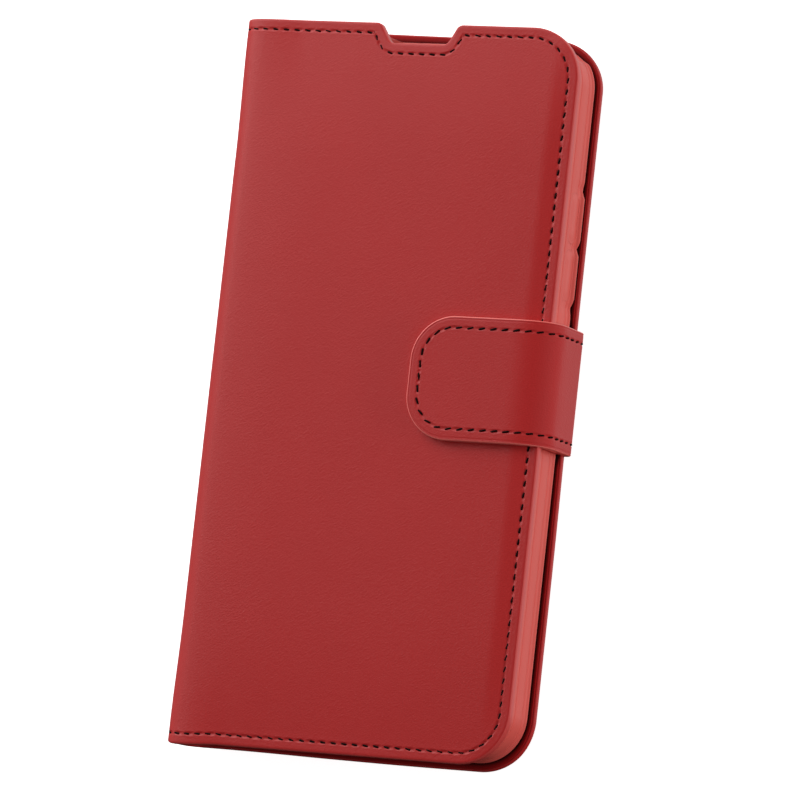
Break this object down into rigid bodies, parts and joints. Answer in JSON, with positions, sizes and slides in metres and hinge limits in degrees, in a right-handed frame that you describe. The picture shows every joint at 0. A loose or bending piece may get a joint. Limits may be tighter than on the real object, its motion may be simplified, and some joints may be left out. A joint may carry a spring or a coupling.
{
  "type": "phone wallet case",
  "caption": "Folio wallet case for a phone: padded leather-look covers on a folding spine, moulded shell, card pockets and a magnetic strap.",
  "frame": {"origin": "under the middle of the closed case's bounding box, on the back cover's outer face", "axes": "+Z out of the front cover (the closed case lies on its back), +X from the spine to the opening edge with the strap, +Y to the top edge with the earpiece notch"},
  "size_m": [0.086, 0.166, 0.0183],
  "materials": {
    "outer_leather": "red grained artificial leather, satin",
    "pocket_leather": "red grained artificial leather, satin, thinner",
    "lining": "dark red smooth lining, matt",
    "thread": "near-black maroon polyester sewing thread",
    "shell_tpu": "coral red moulded thermoplastic polyurethane, satin",
    "board": "grey stiffening board",
    "padding": "white foam padding",
    "adhesive": "clear double-sided adhesive sheet",
    "steel": "plated steel and magnet"
  },
  "bodies": {
    "back_cover": {"back_skin": "outer_leather", "back_board": "board", "back_lining": "lining", "back_thread": "thread", "back_crease": "outer_leather", "shell_adhesive": "adhesive", "phone_shell": "shell_tpu", "strap_base_skin": "outer_leather", "strap_base_thread": "thread", "strap_back_bend": "outer_leather"},
    "spine": {"spine_skin": "outer_leather", "spine_board": "board", "spine_lining": "lining", "spine_thread": "thread", "front_crease": "outer_leather"},
    "front_cover": {"front_skin": "outer_leather", "front_padding": "padding", "front_board": "board", "front_lining": "lining", "front_thread": "thread", "catch_disc": "steel", "cash_pocket": "pocket_leather", "card_slot_1": "pocket_leather", "card_slot_2": "pocket_leather", "card_slot_3": "pocket_leather", "pocket_thread": "thread"},
    "strap_side": {"strap_side_skin": "outer_leather", "strap_side_lining": "outer_leather", "strap_side_thread": "thread", "strap_front_bend": "outer_leather"},
    "strap_tab": {"strap_tab_skin": "outer_leather", "strap_tab_lining": "outer_leather", "strap_tab_thread": "thread", "strap_magnet": "steel"},
    "volume_button": {"volume_button": "shell_tpu"},
    "power_button": {"power_button": "shell_tpu"}
  },
  "joints": [
    {"name": "spine_fold", "type": "hinge", "parent": "back_cover", "child": "spine", "pos_m": [-0.04203, 0, 0.00097], "axis": [0, -1, 0], "range_deg": [0, 180], "deforming": ["back_crease"]},
    {"name": "cover_fold", "type": "hinge", "parent": "spine", "child": "front_cover", "pos_m": [-0.04203, 0, 0.01463], "axis": [0, -1, 0], "range_deg": [0, 180], "deforming": ["front_crease"]},
    {"name": "strap_side_fold", "type": "hinge", "parent": "back_cover", "child": "strap_side", "pos_m": [0.04257, 0.0025, 0.00043], "axis": [0, 1, 0], "range_deg": [0, 180], "deforming": ["strap_back_bend"]},
    {"name": "strap_tab_fold", "type": "hinge", "parent": "strap_side", "child": "strap_tab", "pos_m": [0.04214, 0.0025, 0.01744], "axis": [0, 1, 0], "range_deg": [0, 90], "deforming": ["strap_front_bend"]},
    {"name": "volume_press", "type": "slide", "parent": "back_cover", "child": "volume_button", "axis": [-1, 0, 0], "range_m": [0, 0.0004], "stiffness_N_per_m": 3000},
    {"name": "power_press", "type": "slide", "parent": "back_cover", "child": "power_button", "axis": [-1, 0, 0], "range_m": [0, 0.0004], "stiffness_N_per_m": 3000}
  ]
}
